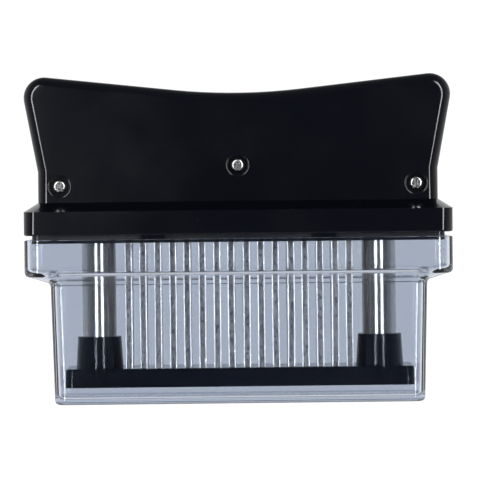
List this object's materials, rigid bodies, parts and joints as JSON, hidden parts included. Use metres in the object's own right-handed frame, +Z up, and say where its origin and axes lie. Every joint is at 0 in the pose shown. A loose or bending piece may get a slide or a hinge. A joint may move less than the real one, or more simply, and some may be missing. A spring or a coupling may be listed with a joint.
{
  "type": "blade meat tenderizer",
  "caption": "Hand-pressed blade meat tenderizer: flat blades in rows under a saddle-shaped handle, a sprung pressure foot on two columns and a clear storage cover.",
  "frame": {"origin": "middle of the storage cover's underside, where the standing tool rests", "axes": "+X along the handle to the right, +Y away from the screw heads, +Z up"},
  "size_m": [0.15, 0.042, 0.115],
  "materials": {
    "clear_cover": "clear moulded plastic with a cool tint",
    "handle_plastic": "polished black moulded plastic",
    "plate_plastic": "black moulded plastic",
    "foot_plastic": "satin black moulded plastic",
    "holder_plastic": "dark moulded plastic",
    "bush_plastic": "natural acetal",
    "screw_chrome": "polished stainless steel",
    "blade_steel": "rolled stainless strip with ground edges",
    "column_steel": "turned stainless tube",
    "inner_steel": "plain steel",
    "plug_brass": "turned brass",
    "spring_steel": "drawn spring wire"
  },
  "bodies": {
    "cover": {"storage_cover": "clear_cover"},
    "handle": {"front_handle_shell": "handle_plastic", "rear_handle_shell": "handle_plastic", "base_plate": "plate_plastic", "handle_screws": "screw_chrome", "blade_holder_front": "holder_plastic", "blades_front": "blade_steel", "blade_holder_middle": "holder_plastic", "blades_middle": "blade_steel", "blade_holder_rear": "holder_plastic", "blades_rear": "blade_steel", "guide_bush_left": "bush_plastic", "spring_left": "spring_steel", "spring_seat_left": "bush_plastic", "guide_bush_right": "bush_plastic", "spring_right": "spring_steel", "spring_seat_right": "bush_plastic"},
    "foot": {"pressure_foot": "foot_plastic", "foot_screws": "screw_chrome", "column_left": "column_steel", "column_stop_left": "inner_steel", "column_plug_left": "plug_brass", "column_right": "column_steel", "column_stop_right": "inner_steel", "column_plug_right": "plug_brass"}
  },
  "joints": [
    {"name": "tool_lift", "type": "slide", "parent": "cover", "child": "handle", "axis": [0, 0, 1], "range_m": [0, 0.075]},
    {"name": "foot_press", "type": "slide", "parent": "handle", "child": "foot", "axis": [0, 0, 1], "range_m": [0, 0.032], "stiffness_N_per_m": 1060, "springref_m": -0.012, "deforming": ["spring_left", "spring_right"]}
  ]
}
